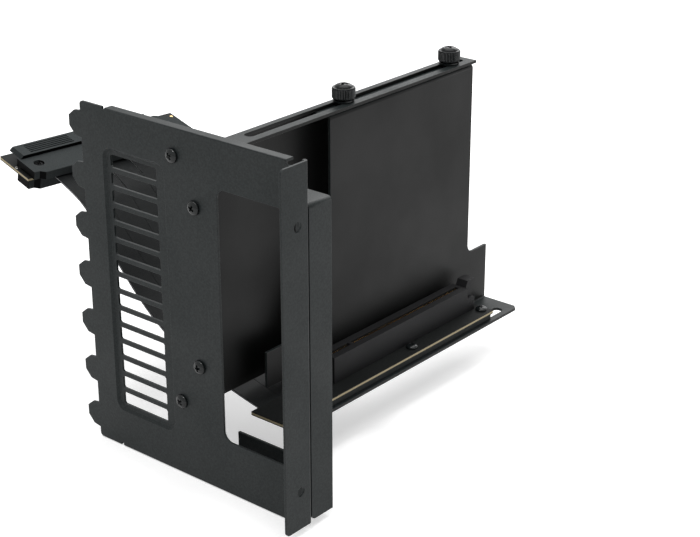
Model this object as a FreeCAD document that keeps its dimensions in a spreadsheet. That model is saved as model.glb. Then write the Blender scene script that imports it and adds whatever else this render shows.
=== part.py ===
"""Vertical graphics-card bracket with its riser cable, millimetres.

Frame: +X towards the side window of the case, +Y into the case, +Z up. The origin is midway between the two
slot screws, on the inner face of the side flange. Each piece is drawn from the root of the middle slot tab,
on the outer face of the rear plate, and then set in the frame by its placement.
"""
import FreeCAD, Part
import math
import os
import Sketcher

doc = FreeCAD.newDocument("vertical_card_bracket")
sheet = doc.addObject("Spreadsheet::Sheet", "sizes")

# Driving dimensions, one cell each
SIZES = {
    # rear plate: one folded steel sheet
    "plate_sheet": 1.0, "plate_bend": 0.3, "plate_half_height": 70.25, "bend_land": 0.8,
    "ear_width": 12.2, "ear_corner": 1.5, "relief_width": 1.2, "relief_depth": 1.0, "side_relief": 2.2,
    "rim_end": 102.5, "rim_depth": 3.9, "rim_set": 0.3, "rim_drop": 0.2, "rim_round": 0.45,
    "slot_pitch": 20.32, "tab_half_root": 5.4, "tab_reach": 6.5, "tab_shoulder": 3.5,
    "tab_shoulder_half": 4.9, "tab_nose_half": 2.05, "tab_nose_drop": 0.4,
    "flange_face": 112.0, "flange_reach": 12.9, "flange_top": 71.65, "flange_bottom": 67.45,
    "flange_corner": 1.8, "slot_screw_hole": 3.8, "slot_screw_span": 101.6, "slot_screw_setback": 5.0,
    "slot_screw_mid": -1.35,
    # stamped vent panel
    "vent_left": 10.95, "vent_width": 32.5, "vent_half_height": 54.6, "vent_mid": 0.12, "vent_corner": 4.5,
    "vent_depth": 1.2, "louvre_left": 13.95, "louvre_width": 24.3, "louvre_height": 5.2,
    "louvre_pitch": 7.035, "louvre_corner": 0.6,
    # card window
    "window_left": 69.4, "window_right": 106.6, "window_top": 51.65, "window_bottom": 48.35,
    "window_corner": 3.8,
    # arm: web, top rail and screw tabs folded from one sheet
    "arm_sheet": 1.2, "arm_bend": 0.2, "arm_web": 53.2, "arm_top": 62.0, "arm_drop": 40.2,
    "arm_length": 161.5, "rail_width": 11.6, "rail_slot_inset": 3.7, "rail_slot_width": 4.3,
    "rail_slot_start": 27.0, "rail_slot_end": 158.2, "face_screw_mid": 10.2, "outer_screw_half": 49.1,
    "inner_screw_half": 31.6, "outer_screw_offset": 5.1, "inner_screw_offset": 5.0, "tab_margin": 5.0,
    "outer_tab_margin": 3.8, "inner_tab_margin": 6.0, "outer_tab_height": 7.6,
    # card cage behind the window
    "cage_sheet": 1.0, "cage_bend": 0.5, "cage_face": 111.3, "cage_near": 1.6, "cage_far": 13.2,
    "cage_corner": 2.0, "shelf_level": 55.35, "shelf_left": 66.0, "cage_bottom": 67.2, "lip_top": 51.3,
    "lip_left": 65.0, "weld_left": 70.0, "weld_right": 104.0, "weld_height": 9.0,
    "card_screw_hole": 3.2, "card_screw_first": 74.6, "card_screw_setback": 6.2,
    # carriage: top tab, hanging web and shelf folded from one sheet
    "carriage_sheet": 1.2, "carriage_bend": 0.5, "carriage_gap": 0.3, "carriage_web": 63.0,
    "carriage_tab_left": 55.4, "carriage_near": 30.0, "carriage_far": 174.0, "shelf_top": 50.25,
    "shelf_corner": 1.8, "web_near": 68.0, "web_far": 160.0, "web_shoulder": 25.0, "gusset_drop": 40.0,
    "ribbon_gate_top": 40.0, "ribbon_gate_far": 101.0, "board_slot_start": 100.0,
    "board_slot_end": 167.5, "board_slot_width": 4.4, "board_slot_margin": 2.8,
    # thumbscrews, washers and clamp nuts
    "thumb_near": 82.0, "thumb_far": 150.0, "thumb_head": 9.3, "thumb_knurl": 5.0, "thumb_dome": 1.3,
    "thumb_shank": 3.4, "thumb_play": 0.05,
    "washer_outer": 8.4, "washer_sheet": 0.8, "clamp_gap": 0.15, "nut_width": 6.4, "nut_height": 3.2,
    "thumb_tip": 1.6,
    # face screws
    "screw_head": 5.6, "screw_head_height": 1.8, "screw_shank": 2.7, "screw_length": 3.4,
    "screw_hole": 3.4, "screw_fit": 0.05,
    # riser socket on the shelf
    "socket_gap": 1.5, "socket_width": 8.6, "socket_height": 11.2, "socket_near": 58.0,
    "socket_length": 89.0, "socket_slot": 1.9, "socket_slot_depth": 8.6, "socket_end_wall": 2.0,
    "socket_short_slot": 12.2, "socket_key": 1.8, "board_gap": 0.5, "board_margin": 4.2,
    "board_near": 20.0, "board_far": 156.0, "board_sheet": 1.6, "base_height": 2.8, "base_inset": 0.6,
    "board_screw_head": 5.0, "board_screw_gap": 0.5, "board_screw_shank": 2.6, "board_screw_rise": 1.6,
    "board_screw_one": 36.0, "board_screw_two": 104.0, "board_screw_three": 153.0,
    "latch_width": 5.4, "latch_length": 4.6, "latch_height": 13.6, "latch_play": 0.35, "ear_wall": 1.2,
    "latch_pin": 2.0, "latch_pin_play": 0.05, "latch_pin_rise": 4.0, "latch_hook": 1.6,
    "latch_foot": 2.5, "latch_foot_cut": 1.5, "latch_foot_side": 0.9,
    # ribbon cable: parallel flat strips
    "ribbon_near": 25.0, "ribbon_pitch": 11.975, "ribbon_strip": 11.5, "ribbon_sheet": 0.9,
    "ribbon_gap": 0.1, "ribbon_entry": 0.9,
    # riser plug, in its own turned frame
    "plug_x": -71.5, "plug_y": 17.0, "plug_z": 26.4, "plug_yaw": -7.8, "plug_tilt": 11.8,
    "plug_length": 87.0, "plug_board_width": 21.0, "plug_board_sheet": 1.6, "finger_depth": 7.5,
    "finger_key": 1.9, "finger_key_place": 13.8, "shell_left": 8.2, "shell_right": 25.0,
    "shell_under_left": 9.0, "shell_under_right": 21.2, "shell_step": 1.9, "shell_step_near": 4.0,
    "shell_near": 1.5, "shell_far": 82.5, "shell_top": 5.1, "shell_bottom": 4.8, "shell_corner": 2.0,
    "shell_bay": 8.0, "shell_ledge": 4.2, "grip_left": 2.9, "grip_right": 11.6, "grip_top": 6.6,
    "grip_near": 2.3, "grip_far": 71.0, "grip_slope": 1.4, "grip_groove": 0.7, "grip_groove_pitch": 1.35,
    "grip_groove_inset": 5.7, "grip_groove_length": 21.0, "plug_screw_u": 17.15, "plug_screw_inset": 5.9,
    "plug_screw_head": 4.2, "plug_screw_recess": 1.2, "plug_screw_fit": 0.15,
}
TABS = 7
LOUVRES = 15
STRIPS = 5
GRIP_GROOVES = 5
# bends of the ribbon's centre line in the X-Z plane, between the plug's mouth and the socket board
RIBBON_BENDS = [(-33.0, 17.0), (8.6, -29.0), (44.0, -42.6)]
RUN_SHARE = 0.45

for row, (alias, value) in enumerate(SIZES.items(), start=1):
    sheet.set(f"A{row}", alias)
    sheet.set(f"B{row}", str(value))
    sheet.setAlias(f"B{row}", alias)
doc.recompute()


class Size:
    """A length with its value and the sheet expression that gives it."""

    def __init__(self, value, text=None):
        self.value = float(value)
        self.text = text if text is not None else repr(float(value))

    def joined(self, other, sign, value):
        other = other if isinstance(other, Size) else Size(other)
        return Size(value(self.value, other.value), f"({self.text} {sign} {other.text})")

    def __add__(self, other):
        return self.joined(other, "+", lambda a, b: a + b)

    def __sub__(self, other):
        return self.joined(other, "-", lambda a, b: a - b)

    def __mul__(self, other):
        return self.joined(other, "*", lambda a, b: a * b)

    def __truediv__(self, other):
        return self.joined(other, "/", lambda a, b: a / b)

    def __neg__(self):
        return Size(-self.value, f"(0 - {self.text})")

    def __radd__(self, other):
        return Size(other) + self

    def __rsub__(self, other):
        return Size(other) - self

    def __rmul__(self, other):
        return Size(other) * self


def size(alias):
    return Size(sheet.get(alias), f"sizes.{alias}")


def bind(target, path, length):
    length = length if isinstance(length, Size) else Size(length)
    target.setExpression(path, length.text)


def new_body(label):
    body = doc.addObject("PartDesign::Body", label)
    body.Label = label
    return body


def origin_feature(body, role):
    return next(item for item in body.Origin.OriginFeatures if item.Role == role)


def new_sketch(body, plane, lift=None):
    """A sketch on one of the body's own planes, lifted along the plane's normal."""
    sketch = body.newObject("Sketcher::SketchObject", "sketch")
    sketch.AttachmentSupport = [(origin_feature(body, plane), "")]
    sketch.MapMode = "FlatFace"
    if lift is not None:
        bind(sketch, "AttachmentOffset.Base.z", lift)
    return sketch


def place_point(sketch, geometry, position, x, y):
    """Fixes one point of a sketch at x, y from the sketch's origin."""
    for kind, length in (("DistanceX", x), ("DistanceY", y)):
        length = length if isinstance(length, Size) else Size(length)
        number = sketch.addConstraint(
            Sketcher.Constraint(kind, -1, 1, geometry, position, length.value))
        bind(sketch, f"Constraints[{number}]", length)


def number_of(length):
    return length.value if isinstance(length, Size) else float(length)


def add_loop(sketch, corners):
    """A closed outline of straight lines; a corner with a third value is rounded by that radius."""
    flat = [FreeCAD.Vector(number_of(c[0]), number_of(c[1]), 0) for c in corners]
    count = len(corners)
    entry, leave, arcs = list(flat), list(flat), {}
    for i, corner in enumerate(corners):
        if len(corner) < 3:
            continue
        radius = number_of(corner[2])
        back = (flat[i - 1] - flat[i]).normalize()
        ahead = (flat[(i + 1) % count] - flat[i]).normalize()
        half = back.getAngle(ahead) / 2
        entry[i] = flat[i] + back * (radius / math.tan(half))
        leave[i] = flat[i] + ahead * (radius / math.tan(half))
        centre = flat[i] + (back + ahead).normalize() * (radius / math.sin(half))
        left_turn = ahead.cross(back).z > 0
        first, last = (entry[i], leave[i]) if left_turn else (leave[i], entry[i])
        angles = [math.atan2(p.y - centre.y, p.x - centre.x) for p in (first, last)]
        circle = Part.Circle(centre, FreeCAD.Vector(0, 0, 1), radius)
        arcs[i] = (Part.ArcOfCircle(circle, *angles), left_turn)
    lines = [sketch.addGeometry(Part.LineSegment(leave[i], entry[(i + 1) % count]), False)
             for i in range(count)]
    for i, corner in enumerate(corners):
        before, after = lines[i - 1], lines[i]
        if i not in arcs:
            sketch.addConstraint(Sketcher.Constraint("Coincident", before, 2, after, 1))
            place_point(sketch, after, 1, corner[0], corner[1])
            continue
        arc = sketch.addGeometry(arcs[i][0], False)
        start, end = (1, 2) if arcs[i][1] else (2, 1)
        sketch.addConstraint(Sketcher.Constraint("Tangent", before, 2, arc, start))
        sketch.addConstraint(Sketcher.Constraint("Tangent", arc, end, after, 1))
        number = sketch.addConstraint(Sketcher.Constraint("Radius", arc, number_of(corner[2])))
        bind(sketch, f"Constraints[{number}]", corner[2])
        point = sketch.addGeometry(Part.Point(flat[i]), True)
        sketch.addConstraint(Sketcher.Constraint("PointOnObject", point, 1, before))
        sketch.addConstraint(Sketcher.Constraint("PointOnObject", point, 1, after))
        place_point(sketch, point, 1, corner[0], corner[1])


def add_circle(sketch, x, y, diameter):
    centre = FreeCAD.Vector(number_of(x), number_of(y), 0)
    circle = sketch.addGeometry(
        Part.Circle(centre, FreeCAD.Vector(0, 0, 1), number_of(diameter) / 2), False)
    place_point(sketch, circle, 3, x, y)
    number = sketch.addConstraint(Sketcher.Constraint("Diameter", circle, number_of(diameter)))
    bind(sketch, f"Constraints[{number}]", diameter)


def outline(body, plane, corners, lift=None):
    sketch = new_sketch(body, plane, lift)
    add_loop(sketch, corners)
    return sketch


def rectangle(left, bottom, right, top, radius=None):
    ends = (left, bottom), (right, bottom), (right, top), (left, top)
    return [end if radius is None else (*end, radius) for end in ends]


def chamfered(left, bottom, right, top, cut):
    return [(left + cut, bottom), (right - cut, bottom), (right, bottom + cut), (right, top - cut),
            (right - cut, top), (left + cut, top), (left, top - cut), (left, bottom + cut)]


def circles(body, plane, places, diameter, lift=None):
    sketch = new_sketch(body, plane, lift)
    for x, y in places:
        add_circle(sketch, x, y, diameter)
    return sketch


def pad(body, sketch, length, reverse=False, taper=0.0):
    feature = body.newObject("PartDesign::Pad", "pad")
    feature.Profile = sketch
    feature.Reversed = reverse
    feature.TaperAngle = taper
    bind(feature, "Length", length)
    doc.recompute()
    return feature


def pocket(body, sketch, length, reverse=False, taper=0.0):
    """Cuts along the sketch's reversed normal, or along it where reverse is set; it has to remove metal."""
    before = body.Shape.Volume
    feature = body.newObject("PartDesign::Pocket", "pocket")
    feature.Profile = sketch
    feature.Reversed = reverse
    feature.TaperAngle = taper
    bind(feature, "Length", length)
    doc.recompute()
    if body.Shape.Volume >= before:
        raise ValueError(f"{body.Label}: {feature.Name} removes nothing")
    return feature


def repeat(body, feature, axis, span, count):
    pattern = body.newObject("PartDesign::LinearPattern", "pattern")
    pattern.Originals = [feature]
    pattern.Direction = (origin_feature(body, axis), [""])
    pattern.Reversed = True
    pattern.Occurrences = count
    bind(pattern, "Length", span)
    body.Tip = pattern
    doc.recompute()
    return pattern


def turned(label, corners):
    """A solid of revolution about Z, from its half section in the X-Z plane."""
    body = new_body(label)
    sketch = outline(body, "XZ_Plane", corners)
    feature = body.newObject("PartDesign::Revolution", "turn")
    feature.Profile = sketch
    feature.ReferenceAxis = (sketch, ["V_Axis"])
    feature.Angle = 360
    doc.recompute()
    return body


def put(body, x=0.0, y=0.0, z=0.0, rotation=FreeCAD.Rotation()):
    """Sets a piece in its place, given from the root of the middle tab; each coordinate follows the sheet."""
    place = [length - start for length, start in zip((x, y, z), FRAME_START)]
    body.Placement = FreeCAD.Placement(FreeCAD.Vector(*[length.value for length in place]), rotation)
    for axis, length in zip("xyz", place):
        bind(body, f"Placement.Base.{axis}", length)
    return body


def group(label, solids):
    """Several separate solids of one kind under one name."""
    compound = doc.addObject("Part::Compound", label)
    compound.Label = label
    compound.Links = solids
    doc.recompute()
    return compound


S = {alias: size(alias) for alias in SIZES}
NODES = []
THROUGH = S["arm_length"]

# The frame's origin, seen from the root of the middle tab
FRAME_START = (S["flange_face"] - S["plate_sheet"], -S["slot_screw_setback"], S["slot_screw_mid"])

# Levels and faces that several pieces share
plate_outer_bend = S["plate_bend"] + S["plate_sheet"]
arm_outer_bend = S["arm_bend"] + S["arm_sheet"]
rail_top = S["arm_top"]
rail_under = rail_top - S["arm_sheet"]
arm_bottom = -S["arm_drop"]
rail_slot_mid = S["arm_web"] + S["rail_slot_inset"] + S["rail_slot_width"] / 2
rail_right = S["arm_web"] + S["rail_width"]
carriage_top = rail_under - S["carriage_gap"]
carriage_shelf = -S["shelf_top"]
web_right = S["carriage_web"] + S["carriage_sheet"]
socket_mid = web_right + S["socket_gap"] + S["socket_width"] / 2
socket_right = socket_mid + S["socket_width"] / 2
board_screw_x = socket_right + S["board_screw_gap"] + S["board_screw_head"] / 2
board_left, board_right = web_right + S["board_gap"], board_screw_x + S["board_margin"]
board_top = carriage_shelf + S["base_height"] + S["board_sheet"]
shelf_right = board_screw_x + S["board_slot_width"] / 2 + S["board_slot_margin"]
outer_screw_x = S["arm_web"] - S["outer_screw_offset"]
inner_screw_x = S["arm_web"] + S["inner_screw_offset"]
PLUG_TURN = FreeCAD.Rotation(FreeCAD.Vector(0, 0, 1), SIZES["plug_yaw"]).multiply(
    FreeCAD.Rotation(FreeCAD.Vector(0, 1, 0), SIZES["plug_tilt"]))
FACE_SCREWS = [
    (outer_screw_x, S["face_screw_mid"] + S["outer_screw_half"]),
    (inner_screw_x, S["face_screw_mid"] + S["inner_screw_half"]),
    (inner_screw_x, S["face_screw_mid"] - S["inner_screw_half"]),
    (outer_screw_x, S["face_screw_mid"] - S["outer_screw_half"]),
]


def rear_plate():
    """The slotted plate that takes the place of the case's slot covers."""
    body = new_body("rear_plate")
    sheet_t, outer = S["plate_sheet"], plate_outer_bend
    top, fold = S["plate_half_height"], S["plate_half_height"] - S["side_relief"]
    ear, rim = S["ear_width"], S["ear_width"] + S["relief_width"]
    notch, end = top - S["relief_depth"], S["rim_end"]
    bend_start = S["flange_face"] - outer - S["bend_land"]
    upper = [(bend_start, fold), (rim, fold), (rim, notch), (ear, notch), (ear, top),
             (0, top, S["ear_corner"])]
    lower = [(x, -z, *rest) for x, z, *rest in reversed(upper)]
    pad(body, outline(body, "XZ_Plane", lower + upper), sheet_t, reverse=True)

    for side, edge in ((1, top - S["rim_set"]), (-1, top + S["rim_drop"])):
        rim_section = [(0, side * fold), (0, side * edge, S["rim_round"]), (S["rim_depth"], side * edge),
                       (S["rim_depth"], side * (edge - sheet_t)), (sheet_t, side * (edge - sheet_t)),
                       (sheet_t, side * fold)]
        pad(body, outline(body, "YZ_Plane", rim_section[::-side], rim), end - rim)

    face = S["flange_face"]
    straight = S["plate_bend"] + S["bend_land"]
    flange_bend = [(bend_start, 0), (face - sheet_t, 0, S["plate_bend"]), (face - sheet_t, -straight),
                   (face, -straight), (face, sheet_t, outer), (bend_start, sheet_t)]
    height = S["flange_top"] + S["flange_bottom"]
    pad(body, outline(body, "XY_Plane", flange_bend, -S["flange_bottom"]), height)
    reach, corner = -S["flange_reach"], S["flange_corner"]
    flange = [(reach, -S["flange_bottom"], corner), (-straight, -S["flange_bottom"]),
              (-straight, S["flange_top"]), (reach, S["flange_top"], corner)]
    pad(body, outline(body, "YZ_Plane", flange, face - sheet_t), sheet_t)

    first = (TABS - 1) / 2 * S["slot_pitch"]
    root, reach, shoulder = S["tab_half_root"], -S["tab_reach"], -S["tab_shoulder"]
    nose = first + S["tab_nose_drop"]
    tab = [(sheet_t, first - root), (sheet_t, first + root), (0, first + root),
           (shoulder, first + S["tab_shoulder_half"]), (reach, nose + S["tab_nose_half"]),
           (reach, nose - S["tab_nose_half"]), (shoulder, first - S["tab_shoulder_half"]),
           (0, first - root)]
    tab_pad = pad(body, outline(body, "XZ_Plane", tab[::-1]), sheet_t, reverse=True)
    repeat(body, tab_pad, "Z_Axis", (TABS - 1) * S["slot_pitch"], TABS)

    left, wide = S["vent_left"], S["vent_width"]
    low, high = S["vent_mid"] - S["vent_half_height"], S["vent_mid"] + S["vent_half_height"]
    skin = (math.sqrt(2) - 1) * sheet_t
    boss = chamfered(left - skin, low - skin, left + wide + skin, high + skin, S["vent_corner"] / 2)
    pad(body, outline(body, "XZ_Plane", boss, -sheet_t), S["vent_depth"], reverse=True, taper=-45.0)
    dish = rectangle(left, low, left + wide, high, S["vent_corner"])
    pocket(body, outline(body, "XZ_Plane", dish), S["vent_depth"], taper=-45.0)
    louvre_top = S["vent_mid"] + (LOUVRES - 1) / 2 * S["louvre_pitch"] + S["louvre_height"] / 2
    louvre = chamfered(S["louvre_left"], louvre_top - S["louvre_height"],
                       S["louvre_left"] + S["louvre_width"], louvre_top, S["louvre_corner"])
    cut = pocket(body, outline(body, "XZ_Plane", louvre), S["vent_depth"] + 4 * sheet_t)
    repeat(body, cut, "Z_Axis", (LOUVRES - 1) * S["louvre_pitch"], LOUVRES)

    window = rectangle(S["window_left"], -S["window_bottom"], S["window_right"], S["window_top"],
                       S["window_corner"])
    pocket(body, outline(body, "XZ_Plane", window), 4 * sheet_t)
    pocket(body, circles(body, "XZ_Plane", FACE_SCREWS, S["screw_hole"]), 4 * sheet_t)
    half = S["slot_screw_span"] / 2
    holes = [(-S["slot_screw_setback"], S["slot_screw_mid"] + step) for step in (half, -half)]
    pocket(body, circles(body, "YZ_Plane", holes, S["slot_screw_hole"], face + sheet_t), 3 * sheet_t)
    return put(body)


def arm_frame():
    """Web and slotted top rail, with three screw tabs folded against the rear plate."""
    body = new_body("arm_frame")
    sheet_t, bend, outer = S["arm_sheet"], S["arm_bend"], arm_outer_bend
    web, near = S["arm_web"], S["plate_sheet"]
    start = near + outer + S["bend_land"]
    section = [(web, arm_bottom), (web + sheet_t, arm_bottom), (web + sheet_t, rail_under, bend),
               (rail_right, rail_under), (rail_right, rail_top), (web, rail_top, outer)]
    pad(body, outline(body, "XZ_Plane", section, -start), S["arm_length"] - start, reverse=True)

    margin = S["tab_margin"]
    left = outer_screw_x - S["outer_tab_margin"]
    fold_left = [(left, near), (web + sheet_t, near, outer), (web + sheet_t, start), (web, start),
                 (web, near + sheet_t, bend), (left, near + sheet_t)]
    bend_top = rail_under - bend - 0.4
    for base in (bend_top - S["outer_tab_height"], arm_bottom):
        pad(body, outline(body, "XY_Plane", fold_left, base), S["outer_tab_height"])
    ear_right = web - bend - 0.4
    for mid, side in ((FACE_SCREWS[0][1], 1), (FACE_SCREWS[3][1], -1)):
        near_edge, far_edge = mid - side * margin, mid + side * margin
        low, high = (near_edge, far_edge) if side > 0 else (far_edge, near_edge)
        ear = rectangle(left, low, ear_right, high)
        pad(body, outline(body, "XZ_Plane", ear, -near), sheet_t, reverse=True)
    right = inner_screw_x + S["inner_tab_margin"]
    fold_right = [(web, start), (web, near, outer), (right, near), (right, near + sheet_t),
                  (web + sheet_t, near + sheet_t, bend), (web + sheet_t, start)]
    pad(body, outline(body, "XY_Plane", fold_right, FACE_SCREWS[2][1] - margin),
        2 * S["inner_screw_half"] + 2 * margin)

    slot_left = web + S["rail_slot_inset"]
    slot = rectangle(slot_left, S["rail_slot_start"], slot_left + S["rail_slot_width"], S["rail_slot_end"],
                     S["rail_slot_width"] * RUN_SHARE)
    pocket(body, outline(body, "XY_Plane", slot, rail_top), 2 * sheet_t)
    tapped = S["screw_shank"] + 2 * S["screw_fit"]
    pocket(body, circles(body, "XZ_Plane", FACE_SCREWS, tapped, -near), 3 * sheet_t)
    return put(body)


def card_cage():
    """Strip, shelf and lip behind the window: the card's own bracket is screwed to the shelf."""
    body = new_body("card_cage")
    sheet_t, bend = S["cage_sheet"], S["cage_bend"]
    outer, face, level = bend + sheet_t, S["cage_face"], S["shelf_level"]
    near, far, left = S["cage_near"], S["cage_far"], S["shelf_left"]
    bottom, inner = -S["cage_bottom"], face - sheet_t
    corner = S["cage_corner"]
    section = [(inner, bottom + corner), (face, bottom + corner), (face, level, outer), (left, level),
               (left, level - sheet_t), (inner, level - sheet_t, bend)]
    pad(body, outline(body, "XZ_Plane", section, -near), far - near, reverse=True)

    foot = [(near, bottom, corner), (far, bottom), (far, bottom + 2 * corner), (near, bottom + 2 * corner)]
    pad(body, outline(body, "YZ_Plane", foot, inner), sheet_t)
    lip = rectangle(S["lip_left"], bottom, face, -S["lip_top"])
    pad(body, outline(body, "XZ_Plane", lip, sheet_t - far), sheet_t, reverse=True)

    wall = S["plate_sheet"]
    weld = [(wall, level + S["weld_height"]), (wall, level - sheet_t, outer),
            (wall + outer + S["bend_land"], level - sheet_t), (wall + outer + S["bend_land"], level),
            (wall + sheet_t, level, bend), (wall + sheet_t, level + S["weld_height"])]
    pad(body, outline(body, "YZ_Plane", weld, S["weld_left"]), S["weld_right"] - S["weld_left"])
    first = S["card_screw_first"]
    holes = [(first, S["card_screw_setback"]), (first + S["slot_pitch"], S["card_screw_setback"])]
    pocket(body, circles(body, "XY_Plane", holes, S["card_screw_hole"], level), 2 * sheet_t)
    return put(body)


def carriage():
    """Slides under the rail; its shelf carries the riser socket."""
    body = new_body("carriage")
    sheet_t, bend = S["carriage_sheet"], S["carriage_bend"]
    outer, web = bend + sheet_t, S["carriage_web"]
    near, far, shelf = S["carriage_near"], S["carriage_far"], carriage_shelf
    tab_left, right = S["carriage_tab_left"], shelf_right
    section = [(tab_left, carriage_top - sheet_t), (web, carriage_top - sheet_t, bend),
               (web, shelf - sheet_t, outer), (right, shelf - sheet_t), (right, shelf),
               (web + sheet_t, shelf, bend), (web + sheet_t, carriage_top, outer), (tab_left, carriage_top)]
    pad(body, outline(body, "XZ_Plane", section, -near), far - near, reverse=True)

    shoulder, over = -S["web_shoulder"], carriage_top + 5.0
    side = web + 3 * sheet_t
    cut_depth = side - tab_left + 5.0
    drop = S["gusset_drop"]
    near_cut = [(near - 5.0, shoulder), (S["web_near"] - drop / 2, shoulder),
                (S["web_near"], shoulder + drop, 6.0), (S["web_near"], over), (near - 5.0, over)]
    far_cut = [(far + 5.0, shoulder), (far + 5.0, over), (S["web_far"], over), (S["web_far"], shoulder, 4.0)]
    for cut in (near_cut, far_cut):
        pocket(body, outline(body, "YZ_Plane", cut, side), cut_depth)
    gate = rectangle(near - 5.0, shelf + bend + 0.3, S["ribbon_gate_far"], -S["ribbon_gate_top"])
    pocket(body, outline(body, "YZ_Plane", gate, side), cut_depth)
    slot_half = S["board_slot_width"] / 2
    slot = rectangle(board_screw_x - slot_half, S["board_slot_start"], board_screw_x + slot_half,
                     S["board_slot_end"], S["board_slot_width"] * RUN_SHARE)
    pocket(body, outline(body, "XY_Plane", slot, shelf), 2 * sheet_t)
    corner = S["shelf_corner"]
    far_corner = [(right + corner, far + corner), (right - corner, far + corner), (right - corner, far),
                  (right, far - corner), (right + corner, far - corner)]
    pocket(body, outline(body, "XY_Plane", far_corner, shelf), 2 * sheet_t)
    thumbs = [(rail_slot_mid, S["thumb_near"]), (rail_slot_mid, S["thumb_far"])]
    pocket(body, circles(body, "XY_Plane", thumbs, S["thumb_shank"] + 0.8, carriage_top), 2 * sheet_t)
    near_screw = [(board_screw_x, S["board_screw_one"])]
    pocket(body, circles(body, "XY_Plane", near_screw, S["board_screw_shank"] + 0.2, shelf), 2 * sheet_t)
    return put(body)


def thumb_parts(end):
    """One thumbscrew with its washer on the rail and its nut under the carriage tab."""
    place = S[f"thumb_{end}"]
    shank, head = S["thumb_shank"] / 2, S["thumb_head"] / 2
    seat = S["clamp_gap"] + S["washer_sheet"]
    head_high = seat + S["thumb_knurl"]
    crown = head_high + S["thumb_dome"]
    nut_low = carriage_top - S["carriage_sheet"] - S["nut_height"] - rail_top
    tip = nut_low - S["thumb_tip"]
    screw = turned(f"thumbscrew_{end}", [
        (0, tip), (shank, tip), (shank, seat), (head, seat), (head, head_high), (head - 1.6, crown),
        (0, crown)])
    washer = turned(f"thumb_washer_{end}", rectangle(
        shank + 0.15, S["clamp_gap"], S["washer_outer"] / 2, seat))
    nut = new_body(f"clamp_nut_{end}")
    across = S["nut_width"] / 2
    point = across / math.cos(math.pi / 6)
    hexagon = [(across, -(point / 2)), (across, point / 2), (0, point), (-across, point / 2),
               (-across, -(point / 2)), (0, -point)]
    pad(nut, outline(nut, "XY_Plane", hexagon, nut_low), S["nut_height"])
    bore = S["thumb_shank"] + 2 * S["thumb_play"]
    pocket(nut, circles(nut, "XY_Plane", [(0, 0)], bore, nut_low + S["nut_height"]), 2 * S["nut_height"])
    return [put(piece, rail_slot_mid, place, rail_top) for piece in (screw, washer, nut)]


def pan_screw(label, head, head_height, shank, length):
    """Pan-head screw: seat of the head at the origin, shank downwards."""
    return turned(label, [
        (0, -length), (shank / 2, -length), (shank / 2, 0), (head / 2, 0),
        (head / 2 - 0.8, head_height), (0, head_height)])


def face_screws():
    outward = FreeCAD.Rotation(FreeCAD.Vector(1, 0, 0), 90)
    screws = []
    for number, (x, z) in enumerate(FACE_SCREWS, start=1):
        screw = pan_screw(f"face_screw_{number}", S["screw_head"], S["screw_head_height"], S["screw_shank"],
                          S["screw_length"])
        screws.append(put(screw, x, 0, z, outward))
    return group("face_screws", screws)


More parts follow.
